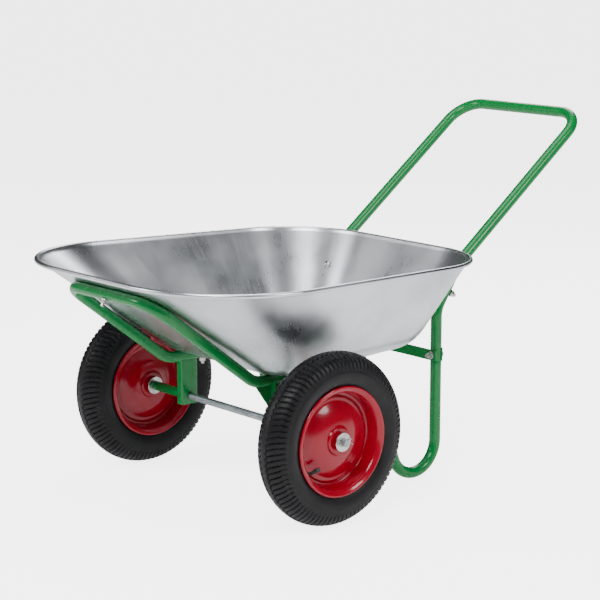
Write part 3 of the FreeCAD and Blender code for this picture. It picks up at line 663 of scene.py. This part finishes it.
# ---- tray ----
@dataclass
class Tray:
    """The pressed tray: floor, rounded foot, straight walls and a rolled rim."""

    axle_x: float
    sheet: float = 1.2 * MM
    floor_front: tuple[float, float] = (42 * MM, 290.5 * MM)
    floor_rear: tuple[float, float] = (-387 * MM, 299.5 * MM)
    floor_halves: tuple[float, float] = (226 * MM, 207 * MM)
    floor_corners: tuple[float, float] = (78 * MM, 100 * MM)
    rim_front: tuple[float, float] = (356 * MM, 515 * MM)
    rim_rear: tuple[float, float] = (-495 * MM, 494 * MM)
    rim_halves: tuple[float, float] = (384 * MM, 318 * MM)
    rim_corners: tuple[float, float] = (235 * MM, 195 * MM)
    foot_radius: float = 96 * MM
    bead_radius: float = 5 * MM
    bead_turn: float = 300.0
    wave: float = 0.5 * MM
    wave_rise: tuple[int, int] = (-6, 14)
    wave_fall: int = 10
    corner_steps: int = 44
    run_steps: int = 26
    floor_points: int = 14
    bend_points: int = 18
    wall_points: int = 30
    bead_points: int = 22
    flow_radius: float = 0.38

    def outline(self, front: tuple[float, float], rear: tuple[float, float],
                halves: tuple[float, float], corners: tuple[float, float]) -> Array:
        """A rounded trapezoid seen from above, lifted onto the line from front to rear.

        Args:
            front: (x, z) of the front edge.
            rear: (x, z) of the rear edge.
            halves: Half widths at the front and the rear.
            corners: Corner radii at the front and the rear.

        Returns:
            Points round the outline, the same number for any sizes.
        """
        sharp = [np.array(p) for p in ((front[0], halves[0]), (rear[0], halves[1]),
                                       (rear[0], -halves[1]), (front[0], -halves[0]))]
        radii = [corners[0], corners[1], corners[1], corners[0]]
        arcs = [arc_points(sharp[i - 1], sharp[i], sharp[(i + 1) % 4], radii[i], self.corner_steps)
                for i in range(4)]
        bits = []
        for i, arc in enumerate(arcs):
            following = arcs[(i + 1) % 4][0]
            share = (np.arange(1, self.run_steps) / self.run_steps)[:, None]
            bits += [arc, arc[-1] + (following - arc[-1]) * share]
        flat = np.vstack(bits)
        slope = (front[1] - rear[1]) / (front[0] - rear[0])
        return np.column_stack([flat, rear[1] + (flat[:, 0] - rear[0]) * slope])

    def outward(self, loop: Array) -> Array:
        """Level directions square to a loop, pointing away from its middle."""
        along = np.roll(loop, -1, axis=0) - np.roll(loop, 1, axis=0)
        return unit(np.column_stack([-along[:, 1], along[:, 0], np.zeros(len(loop))]) * -1.0)

    def build(self, paints: Paintbox) -> None:
        """Make the tray as rows of loops from the middle of the floor to the rolled edge.

        Along each column the section is a straight floor, a quarter-bend curve
        (1-t)^2 A + 2t(1-t) B + t^2 C at the foot, a straight wall, and a circle at the rim.

        Args:
            paints: The finishes.
        """
        foot = self.outline(self.floor_front, self.floor_rear, self.floor_halves, self.floor_corners)
        rim = self.outline(self.rim_front, self.rim_rear, self.rim_halves, self.rim_corners)
        out_foot = self.outward(foot)
        wall = unit(rim - foot)
        lean = np.arccos(np.clip(np.einsum("ij,ij->i", wall, out_foot), -1.0, 1.0))
        reach = (self.foot_radius * np.tan(lean / 2))[:, None]
        inner = foot - out_foot * reach
        middle = np.array([inner[:, 0].mean(), 0.0, inner[:, 2].mean()])
        floor_t = np.linspace(0.02, 1.0, self.floor_points)[:, None, None]
        rows_floor = middle + (inner - middle) * floor_t
        bend_t = np.linspace(0.0, 1.0, self.bend_points)[1:, None, None]
        start, end = inner, foot + wall * reach
        rows_bend = (1 - bend_t) ** 2 * start + 2 * bend_t * (1 - bend_t) * foot + bend_t ** 2 * end
        wall_t = np.linspace(0.0, 1.0, self.wall_points)[1:, None, None]
        rows_wall = end + (rim - end) * wall_t
        out_rim = self.outward(rim)
        angle = np.radians(np.linspace(0.0, self.bead_turn, self.bead_points))[1:, None, None]
        centre = rim + out_rim * self.bead_radius
        up = np.array([0.0, 0.0, 1.0])
        rows_bead = centre - self.bead_radius * (out_rim * np.cos(angle) - up * np.sin(angle))
        grid = np.concatenate([rows_floor, rows_bend, rows_wall, rows_bead])
        grid = self.with_waves(grid, len(rows_floor), len(rows_bead))
        grid[..., 0] += self.axle_x
        surface = Surface().add_grid(grid, flip=True, cap_start=True)
        piece = surface.to_piece("tray_sheet", paints.sheet, FRAME_BODY, "galvanised_sheet",
                                 ["tray"], sharp_angle=60.0, outward=False)
        self.add_flow(piece, grid)
        solid = piece.modifiers.new("thickness", "SOLIDIFY")
        solid.thickness = self.sheet
        solid.offset = -1.0

    def with_waves(self, grid: Array, floor_rows: int, bead_rows: int) -> Array:
        """Press soft unevenness into the walls: a sum of three slow sine waves.

        Args:
            grid: The tray's points.
            floor_rows: Rows at the start that stay as they are.
            bead_rows: Rows at the end that stay as they are.

        Returns:
            The points, moved across the wall by up to the wave's height.
        """
        rows, columns = grid.shape[:2]
        v = np.linspace(0.0, 1.0, rows)[:, None]
        u = np.linspace(0.0, FULL_TURN, columns, endpoint=False)[None, :]
        wave = (np.sin(5 * u + 4.0 * v) + np.sin(9 * u - 7.0 * v + 1.3)
                + np.sin(3 * u + 11.0 * v + 0.7)) / 3
        last = rows - bead_rows
        row = np.arange(rows)[:, None]
        low, high = (floor_rows + shift for shift in self.wave_rise)
        hold = smooth_step(low, high, row) * (1 - smooth_step(last - self.wave_fall, last, row))
        across = np.cross(np.gradient(grid, axis=0), np.gradient(grid, axis=1))
        return grid + unit(across) * (self.wave * wave * hold)[..., None]

    def add_flow(self, piece: bpy.types.Object, grid: Array) -> None:
        """Store how far round and how far up each point is, for lines that follow the walls.

        Args:
            piece: The tray's object.
            grid: The tray's points.
        """
        rows, columns = grid.shape[:2]
        u = np.linspace(0.0, FULL_TURN, columns, endpoint=False)
        steps = np.linalg.norm(np.diff(grid, axis=0), axis=-1).mean(axis=1)
        up = np.r_[0.0, np.cumsum(steps)]
        round_x, round_y = (self.flow_radius * turn(u)[None, :] for turn in (np.cos, np.sin))
        flow = np.stack(np.broadcast_arrays(round_x, round_y, up[:, None]), axis=-1)
        attribute = piece.data.attributes.new("wall_flow", "FLOAT_VECTOR", "POINT")
        attribute.data.foreach_set("vector", flow.astype(np.float32).ravel())


# ---- tubes of the frame ----
@dataclass
class TubeFrame:
    """The green tubes: front loop, handle, legs with flattened ends, and brackets."""

    axle_x: float
    tube_radius: float = 12.5 * MM
    tube_sheet: float = 1.5 * MM
    tube_columns: int = 40
    rail_y: float = 150 * MM
    rail_z: float = 278 * MM
    rail_rear_x: float = -245 * MM
    loop_corner_x: float = 63 * MM
    crossbar: tuple[float, float] = (323.4 * MM, 476.3 * MM)
    loop_bends: tuple[float, float] = (60 * MM, 55 * MM)
    handle_y: float = 192 * MM
    leg_x: float = -426 * MM
    handle_end_z: float = 258 * MM
    handle_low_z: float = 375 * MM
    handle_knee: tuple[float, float] = (-489 * MM, 466.5 * MM)
    handle_top: tuple[float, float] = (-899 * MM, 774 * MM)
    handle_bends: tuple[float, float, float] = (60 * MM, 60 * MM, 66 * MM)
    leg_bend: float = 66 * MM
    leg_lean: float = math.radians(70)
    spigot_length: float = 45 * MM
    spigot_radius: float = 10.7 * MM
    tab_length: float = 46 * MM
    tab_half: float = 2.5 * MM
    tab_bend: float = 20 * MM
    tab_neck: tuple[float, float] = (1.7, 0.9)
    tab_spread: float = 0.2
    bracket_half: float = 22 * MM
    bracket_depth: float = 18 * MM
    bracket_sheet: float = 3 * MM
    bracket_bottom: float = 164 * MM
    bracket_bend: float = 4.5 * MM

    def both_sides(self, side_path: Sequence[Sequence[float]], bends: Sequence[float],
                   last_bend: float) -> Array:
        """A path down one side, across, and back along the other.

        Args:
            side_path: Corners of the left side, from its end to the corner of the cross part.
            bends: Radii at the inner corners of the left side.
            last_bend: Radius at the corner of the cross part.

        Returns:
            Points along the whole path.
        """
        other = [(x, -y, z) for x, y, z in reversed(side_path)]
        radii = [*bends, last_bend, last_bend, *reversed(bends)]
        return rounded_path([*side_path, *other], radii, steps=20) + np.array([self.axle_x, 0, 0])

    def hollow_tube(self, path: Array) -> Surface:
        """A round tube with a wall, open at both ends.

        Args:
            path: Its centre line.

        Returns:
            A closed skin: outside along the path and inside back again.
        """
        outer = sweep(path, circle(self.tube_radius, self.tube_columns))
        inner = sweep(path, circle(self.tube_radius - self.tube_sheet, self.tube_columns))
        return Surface().add_grid(np.concatenate([outer, inner[::-1]]), wrap_rows=True)

    def build(self, paints: Paintbox) -> None:
        """Make every tube and folded part.

        Args:
            paints: The finishes.
        """
        x, z = self.crossbar
        loop = self.both_sides([(self.rail_rear_x, self.rail_y, self.rail_z),
                                (self.loop_corner_x, self.rail_y, self.rail_z),
                                (x, self.rail_y, z)], self.loop_bends[:1], self.loop_bends[1])
        y = self.handle_y
        handle = self.both_sides([(self.leg_x, y, self.handle_end_z), (self.leg_x, y, self.handle_low_z),
                                  (self.handle_knee[0], y, self.handle_knee[1]),
                                  (self.handle_top[0], y, self.handle_top[1])],
                                 self.handle_bends[:2], self.handle_bends[2])
        greens = [(self.hollow_tube(loop), "front_loop", "front_loop_tube", 40.0),
                  (self.hollow_tube(handle), "handle", "handle_tube", 40.0)]
        for side in Side:
            word = side.label
            greens += [(self.leg().on(side), f"{word}_leg_tube", f"{word}_leg", 40.0),
                       (self.bracket().on(side), f"{word}_bracket", f"{word}_axle_bracket", 50.0)]
        for surface, name, node, sharp_angle in greens:
            surface.to_piece(name, paints.green, FRAME_BODY, "green_paint", [node],
                             sharp_angle=sharp_angle)

    def leg(self) -> Surface:
        """A left leg: narrowed top, two bends at the ground and a flattened end on the rail."""
        foot = self.tube_radius
        toe_x = self.leg_x + self.leg_bend * (1 + math.tan(self.leg_lean / 2))
        end_x = toe_x + (self.rail_z - foot) / math.tan(self.leg_lean)
        climb = np.array([math.cos(self.leg_lean), 0.0, math.sin(self.leg_lean)])
        rail_end = np.array([end_x, self.handle_y, self.rail_z])
        shoulder = rail_end - climb * (self.tab_length + 2 * foot)
        tab = np.array([end_x, self.rail_y + self.tube_radius + self.tab_half, self.rail_z])
        tab_start = tab - climb * self.tab_length / 2
        top = np.array([self.leg_x, self.handle_y, self.handle_end_z + self.spigot_length])
        path = rounded_path([top, (self.leg_x, self.handle_y, foot), (toe_x, self.handle_y, foot),
                             shoulder, tab_start, tab + climb * foot],
                            [self.leg_bend, self.leg_bend, 0.9 * self.leg_bend, self.tab_bend], steps=18,
                            run_step=0.006)
        along = np.r_[0.0, np.cumsum(np.linalg.norm(np.diff(path, axis=0), axis=1))]
        narrow = 1.0 - smooth_step(self.spigot_length - 1 * MM, self.spigot_length + 1 * MM, along)
        neck = (along[-1] - share * self.tab_length for share in self.tab_neck)
        flat = smooth_step(*neck, along)
        round_scale = 1.0 - narrow * (1.0 - self.spigot_radius / self.tube_radius)
        thin = round_scale * (1.0 - flat * (1.0 - self.tab_half / self.tube_radius))
        wide = round_scale * (1.0 + self.tab_spread * flat)
        grid = sweep(path, circle(self.tube_radius, self.tube_columns), np.column_stack([thin, wide]))
        grid = grid + np.array([self.axle_x, 0.0, 0.0])
        return Surface().add_grid(grid, cap_start=True, cap_end=True)

    def bracket(self) -> Surface:
        """A left axle bracket: a folded channel whose two flanges point outboard."""
        half, sheet, bend = self.bracket_half, self.bracket_sheet, self.bracket_bend
        web = self.rail_y + sheet / 2
        flange = self.rail_y + self.bracket_depth
        line = rounded_path([(-half + sheet / 2, flange, 0.0), (-half + sheet / 2, web, 0.0),
                             (half - sheet / 2, web, 0.0), (half - sheet / 2, flange, 0.0)],
                            [bend - sheet / 2] * 2, steps=6, run_step=0.1)[:, :2]
        outline = thicken_line(line, sheet / 2)
        edge = 0.6 * MM
        heights = [(self.bracket_bottom, edge), (self.bracket_bottom + edge, 0.0), (self.rail_z, 0.0)]
        rows = [np.column_stack([thicken_line(line, sheet / 2 - cut), np.full(len(outline), z)])
                for z, cut in heights]
        grid = np.stack(rows) + np.array([self.axle_x, 0.0, 0.0])
        surface = Surface().add_grid(grid)
        columns = grid.shape[1]
        for start in (0, 2 * columns):
            pairs = [[start + i, start + i + 1, start + columns - 2 - i, start + columns - 1 - i]
                     for i in range(columns // 2 - 1)]
            surface.faces.extend(pairs)
        return surface


# ---- wheels ----
@dataclass
class Wheel:
    """A pressed rim with a pneumatic tyre, drawn about its own axle centre.

    The tyre's outline, from bead to crown, is in millimetres of (radius, y).
    """

    side: Side
    centre: tuple[float, float, float]
    bead: tuple[float, float] = (103.0, 29.0)
    wall_foot: tuple[float, float] = (116.0, 33.5)
    wall_middle: tuple[float, float] = (142.0, 40.0)
    shoulder: tuple[float, float] = (168.0, 31.0)
    crown: float = 182.0
    pitches: int = 90
    columns_per_pitch: int = 8
    groove_depth: float = 3.0 * MM
    groove_share: float = 0.34
    tread_curve: float = 0.9
    zigzag_y: float = 9 * MM
    zigzag_height: float = 2.4 * MM
    tread_end_radius: float = 150 * MM
    tread_end_fade: float = 9 * MM
    bend_reach: float = 52 * MM
    cross_start: tuple[float, float] = (12 * MM, 14 * MM)
    zigzag_edge: tuple[float, float] = (1.0 * MM, 2.2 * MM)
    line_edge: tuple[float, float] = (0.5 * MM, 1.2 * MM)
    line_inset: float = 1.5 * MM
    line_share: float = 0.3
    rim_columns: int = 144
    valve_angle: float = -38.0
    valve_lean: float = 0.85
    valve_root: tuple[float, float] = (99 * MM, 13 * MM)
    washer_lows: tuple[float, float] = (36.4 * MM, -38.9 * MM)
    washer_radii: tuple[float, float] = (8.3 * MM, 20 * MM)
    washer_thick: float = 2.5 * MM
    washer_edge: float = 0.7 * MM
    pin_y: float = 41.3 * MM
    pin_wire: float = 0.9 * MM

    @property
    def body(self) -> str:
        """The body that this wheel rides on."""
        return f"{self.side.label}_wheel"

    def place(self, surface: Surface) -> Surface:
        """Put a surface drawn about the wheel's centre in its place."""
        return surface.on(self.side).moved(self.centre)

    def tyre_outer(self) -> Array:
        """(radius, y) points over the tyre from one bead to the other, finer on the tread."""
        near = np.array([self.bead, self.wall_foot])
        belly = arc_through(self.wall_foot, self.wall_middle, self.shoulder, 20)
        other_shoulder = (self.shoulder[0], -self.shoulder[1])
        crown = arc_through(self.shoulder, (self.crown, 0), other_shoulder, 56)
        half = np.vstack([near[:1], near[0] + (near[1] - near[0]) * np.array([[0.5]]), belly])
        return np.vstack([half, crown[1:-1], half[::-1] * [1, -1]]) * MM

    def tyre(self) -> Surface:
        """The tyre, with its tread cut into the outer skin.

        Depth at a point is the larger of three cuts: a curved cross groove on each shoulder,
        a zigzag groove either side of the middle, and a thin line where the grooves end.

        Returns:
            A closed skin.
        """
        columns = self.pitches * self.columns_per_pitch
        outline = self.tyre_outer()
        grid = turn_profile(outline, columns)
        along = unit(np.gradient(outline, axis=0))
        outward = np.column_stack([-along[:, 1], along[:, 0]])
        outward *= np.sign(outward[len(outward) // 2, 0])
        radius, y = outline[:, 0, None], outline[:, 1, None]
        turn = np.arange(columns)[None, :] / self.columns_per_pitch
        reach = np.cumsum(np.r_[0.0, np.linalg.norm(np.diff(outline, axis=0), axis=1)])
        from_middle = (reach - reach[-1] / 2)[:, None]
        share = np.clip(np.abs(from_middle) / self.bend_reach, 0, 1)
        bend = self.tread_curve * np.sin(share * math.pi / 2)
        saw = (turn - bend + np.where(y > 0, 0.0, 0.5)) % 1.0
        across = np.abs(saw - 0.5) * 2.0
        cross = 1.0 - smooth_step(self.groove_share * 0.45, self.groove_share, across)
        starts = smooth_step(*self.cross_start, np.abs(from_middle))
        end = self.tread_end_radius
        ends = smooth_step(end, end + self.tread_end_fade, radius)
        cross = cross * starts * ends
        tooth = np.abs(((turn + np.where(y > 0, 0.25, 0.75)) % 1.0) - 0.5) * 4.0 - 1.0
        zigzag = np.abs(from_middle) - self.zigzag_y - self.zigzag_height * tooth
        ring = 1.0 - smooth_step(*self.zigzag_edge, np.abs(zigzag))
        from_line = np.abs(radius - end + self.line_inset)
        line = self.line_share * (1.0 - smooth_step(*self.line_edge, from_line))
        depth = self.groove_depth * np.maximum(np.maximum(cross, ring), line)
        push = outward[:, None, :] * depth[..., None]
        angle = turn * (FULL_TURN / self.pitches)
        grid = grid - np.stack([push[..., 0] * np.cos(angle), push[..., 1] * np.ones_like(angle),
                                push[..., 0] * np.sin(angle)], axis=-1)
        inside = np.array([[103, 20], [120, 27], [142, 35], [163, 27], [177, 0]]) * MM
        inside = np.vstack([inside, inside[-2::-1] * [1, -1]])
        return Surface().add_grid(np.concatenate([grid, turn_profile(inside[::-1], columns)]),
                                  wrap_rows=True)

    def rim_half(self) -> Surface:
        """The outboard pressing: rolled lip, barrel, stepped ring, dome and collar."""
        corners = [(112.6, 33.6), (114.9, 34.8), (114.8, 37.2), (112.4, 38.2), (109.0, 36.6),
                   (105.6, 34.6), (103.0, 31.6), (101.6, 27.0), (100.4, 18.0), (99.6, 8.0),
                   (98.6, 3.4), (95.0, 1.8), (91.5, 1.8), (90.0, 2.4), (88.6, 4.6), (86.4, 5.4),
                   (80.6, 5.4), (77.0, 6.6), (70.0, 10.0), (62.0, 13.6), (54.0, 16.6), (46.0, 18.9),
                   (38.0, 20.6), (31.5, 21.4), (29.6, 22.2), (28.8, 24.4), (27.6, 26.4), (25.5, 27.0),
                   (20.0, 27.0), (15.3, 27.0)]
        line = smooth_line(np.array(corners) * MM, 2)
        return Surface().add_grid(turn_profile(thicken_line(line, 1.0 * MM), self.rim_columns),
                                  wrap_rows=True)

    def valve(self) -> Surface:
        """The valve: a plain stem and a cap, from the barrel inwards and outboard."""
        angle = math.radians(self.valve_angle)
        outward = np.array([math.cos(angle), 0.0, math.sin(angle)])
        root = outward * self.valve_root[0] + np.array([0.0, self.valve_root[1], 0.0])
        lean = unit(np.array([0.0, self.valve_lean, 0.0]) - outward)
        steps = [(0.0, 5.6), (1.2, 5.6), (2.4, 4.0), (19.5, 3.7), (20.0, 4.6), (20.6, 5.0),
                 (29.6, 5.0), (30.6, 4.4), (31.0, 2.8)]
        length, radius = np.array(steps).T * MM
        scale = (radius / radius[0])[:, None] * np.ones((1, 2))
        path = root + lean * length[:, None]
        return Surface().add_grid(sweep(path, circle(radius[0], 20), scale), cap_start=True,
                                  cap_end=True)

    def washers(self) -> Surface:
        """The two large washers, one each side of the hub."""
        surface = Surface()
        for low in self.washer_lows:
            high = low + self.washer_thick
            profile = ring_profile(*self.washer_radii, low, high, self.washer_edge)
            surface.add_grid(turn_profile(profile, 72), wrap_rows=True)
        return surface

    def split_pin(self) -> Surface:
        """A bent wire: an eye in front of the axle, two legs through it, opened behind."""
        y = self.pin_y
        eye = 4.0 * MM
        turn = np.radians(np.linspace(-150, 150, 25))
        loop = np.column_stack([13 * MM + eye * np.cos(turn), np.full(25, y), eye * np.sin(turn)])
        low_leg = [(-24 * MM, y, -7.5 * MM), (-17 * MM, y, -4 * MM), (-9 * MM, y, -0.9 * MM),
                   (8 * MM, y, -0.9 * MM)]
        high_leg = [(8 * MM, y, 0.9 * MM), (-9 * MM, y, 0.9 * MM), (-15 * MM, y, 2.5 * MM),
                    (-20 * MM, y, 5 * MM)]
        path = smooth_line(np.vstack([low_leg, loop, high_leg]), 2)
        return Surface().add_grid(sweep(path, circle(self.pin_wire, 12)), cap_start=True, cap_end=True)

    def build(self, paints: Paintbox) -> None:
        """Make the wheel's pieces.

        Args:
            paints: The finishes.
        """
        label = self.side.label
        parts = (
            (self.tyre(), "tyre_tread", paints.tyre, self.body, "tyre_rubber", ["tyre"]),
            (self.rim_half(), "rim_outboard", paints.red, self.body, "red_paint", ["rim_outer_half"]),
            (self.rim_half().mirrored(), "rim_inboard", paints.red, self.body, "red_paint",
             ["rim_inner_half"]),
            (self.valve(), "valve", paints.plastic, self.body, "rubber", ["valve_stem", "valve_cap"]),
            (self.washers(), "hub_washers", paints.zinc, FRAME_BODY, "zinc_plate", ["wheel_washers"]),
            (self.split_pin(), "wire_pin", paints.zinc, FRAME_BODY, "zinc_plate", ["split_pin"]),
        )
        for surface, name, paint, body, slot, nodes in parts:
            self.place(surface).to_piece(f"{label}_{name}", paint, body, slot,
                                         [f"{label}_{node}" for node in nodes])


# ---- fasteners and small CAD parts ----
def dress(frame_nodes: dict[str, bpy.types.Object], paints: Paintbox) -> None:
    """Give every CAD node a finish of its own, by what it is made of.

    Args:
        frame_nodes: The CAD nodes by name.
        paints: The finishes.
    """
    words = {"tube": paints.green, "hub_tube": paints.red, "rim": paints.red, "leg": paints.green,
             "bracket": paints.green, "strap": paints.green, "saddle": paints.green,
             "inner_tube": paints.rubber, "tyre": paints.tyre,
             "bushes": paints.plastic, "valve": paints.plastic, "axle": paints.rod,
             "spacer": paints.green, "bolt": paints.zinc, "nut": paints.zinc, "washer": paints.zinc,
             "split_pin": paints.zinc, "tray": paints.sheet}
    for name, node in frame_nodes.items():
        material = paints.zinc
        for word, finish in words.items():
            if word in name:
                material = finish
        node.data.materials.clear()
        node.data.materials.append(material)


def soften(node: bpy.types.Object, width: float) -> None:
    """Round a CAD node's sharp edges by a small width."""
    bevel = node.modifiers.new("soft_edges", "BEVEL")
    bevel.width = width
    bevel.segments = 2
    bevel.limit_method = "ANGLE"
    bevel.angle_limit = math.radians(40)


# ---- studio ----
def aim_at(thing: bpy.types.Object, place: Sequence[float], target: Sequence[float]) -> None:
    """Stand an object at a place, looking along its own -Z at a target."""
    thing.location = place
    aim = Vector(target) - Vector(place)
    thing.rotation_euler = aim.to_track_quat("-Z", "Y").to_euler()


@dataclass(frozen=True)
class SoftBox:
    """A rectangular area light."""

    name: str
    place: tuple[float, float, float]
    size: tuple[float, float]
    power: float
    target: tuple[float, float, float] = (0.0, 0.0, 0.35)

    def build(self) -> None:
        """Put the light in the scene, aimed at its target."""
        light = bpy.data.lights.new(self.name, "AREA")
        light.shape = "RECTANGLE"
        light.size, light.size_y = self.size
        light.energy = self.power
        aim_at(add_object(self.name, light), self.place, self.target)


@dataclass(frozen=True)
class Studio:
    """Pale floor, plain surroundings, soft lights and the camera."""

    boxes: tuple[SoftBox, ...] = (
        SoftBox("key_box", (2.2, 1.4, 2.7), (1.5, 1.1), 80.0),
        SoftBox("fill_box", (-0.9, 3.2, 2.3), (1.0, 1.4), 60.0),
        SoftBox("front_box", (2.6, -1.6, 1.9), (1.2, 1.4), 45.0),
        SoftBox("back_box", (-2.4, -1.6, 2.6), (1.8, 1.6), 50.0),
        SoftBox("top_box", (0.0, 0.0, 3.2), (2.0, 1.4), 45.0),
    )
    far_glow: float = 1.8
    near_glow: float = 1.0
    floor_glow: float = 0.45
    seen_glow: float = 4.0
    camera_place: tuple[float, float, float] = (2.799, 3.119, 1.235)
    camera_target: tuple[float, float, float] = (0.0805, 0.0, 0.3965)
    lens: float = 114.8
    sensor_width: float = 36.0
    glow_turn: tuple[float, float] = (-0.3, 0.8)
    floor_half: float = 60.0

    def build(self) -> None:
        """Set up the floor, world, lights and camera."""
        self.build_floor()
        self.build_world()
        for box in self.boxes:
            box.build()
        data = bpy.data.cameras.new("camera")
        data.lens = self.lens
        data.sensor_width = self.sensor_width
        camera = add_object("camera", data)
        aim_at(camera, self.camera_place, self.camera_target)
        bpy.context.scene.camera = camera

    def build_floor(self) -> None:
        """A plain, pale floor under the wheels."""
        half = self.floor_half
        mesh = bpy.data.meshes.new("floor")
        mesh.from_pydata([(-half, -half, 0), (half, -half, 0), (half, half, 0), (-half, half, 0)], [],
                         [(0, 1, 2, 3)])
        material = bpy.data.materials.new("pale_floor")
        material.use_nodes = True
        shader = material.node_tree.nodes["Principled BSDF"]
        set_inputs(shader, {"Base Color": (0.92, 0.92, 0.92, 1.0), "Roughness": 0.9,
                            "Emission Color": (1.0, 1.0, 1.0, 1.0)})
        self.brighter_when_seen(Tree(material.node_tree), None, shader.inputs["Emission Strength"])
        mesh.materials.append(material)
        floor = add_object("floor", mesh)

    def build_world(self) -> None:
        """A pale surround, bright behind the barrow and dimmer on the camera's side.

        The glow follows the cosine of the angle between a direction and the camera's aim.
        """
        world = bpy.data.worlds.new("surround")
        world.use_nodes = True
        tree = Tree(world.node_tree)
        background = world.node_tree.nodes["Background"]
        aim = (Vector(self.camera_target) - Vector(self.camera_place)).normalized()
        facing = tree.node("ShaderNodeVectorMath", operation="DOT_PRODUCT")
        facing.inputs[1].default_value = -aim
        tree.link(tree.node("ShaderNodeTexCoord").outputs["Generated"], facing.inputs[0])
        glow = tree.node("ShaderNodeMapRange", interpolation_type="SMOOTHSTEP")
        set_inputs(glow, {"From Min": self.glow_turn[0], "From Max": self.glow_turn[1],
                          "To Min": self.near_glow, "To Max": self.far_glow})
        tree.link(facing.outputs["Value"], glow.inputs["Value"])
        self.brighter_when_seen(tree, glow.outputs["Result"], background.inputs["Strength"])
        bpy.context.scene.world = world

    def brighter_when_seen(self, tree: Tree, glow: Optional[Socket],
                           target: Socket) -> None:
        """Drive a strength by a glow, or the floor's own, and by the seen glow in direct sight.

        Args:
            tree: The nodes that hold the strength.
            glow: What it is for every other ray, or None for the floor's glow.
            target: The strength's socket.
        """
        seen = tree.node("ShaderNodeMix", data_type="FLOAT")
        set_inputs(seen, {"A": self.floor_glow, "B": self.seen_glow})
        tree.link(tree.node("ShaderNodeLightPath").outputs["Is Camera Ray"], seen.inputs["Factor"])
        if glow is not None:
            tree.link(glow, seen.inputs["A"])
        tree.link(seen.outputs["Result"], target)


def wheel_centre(side: Side) -> tuple[float, float, float]:
    """Middle of a side's CAD tyre."""
    low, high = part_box(f"{side.label}_tyre")
    return tuple((a + b) / 2 for a, b in zip(low, high))


def main() -> None:
    """Build the barrow's looks on the CAD frame."""
    logging.basicConfig(level=logging.INFO)
    paints = Paintbox()
    axle_x = wheel_centre(Side.LEFT)[0]
    dress(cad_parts, paints)
    Tray(axle_x).build(paints)
    TubeFrame(axle_x).build(paints)
    for side in Side:
        Wheel(side, wheel_centre(side)).build(paints)
    for name in SOFTENED_PLATES:
        soften(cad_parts[name], PLATE_EDGE)
    Studio().build()


if __name__ == "__main__":
    main()
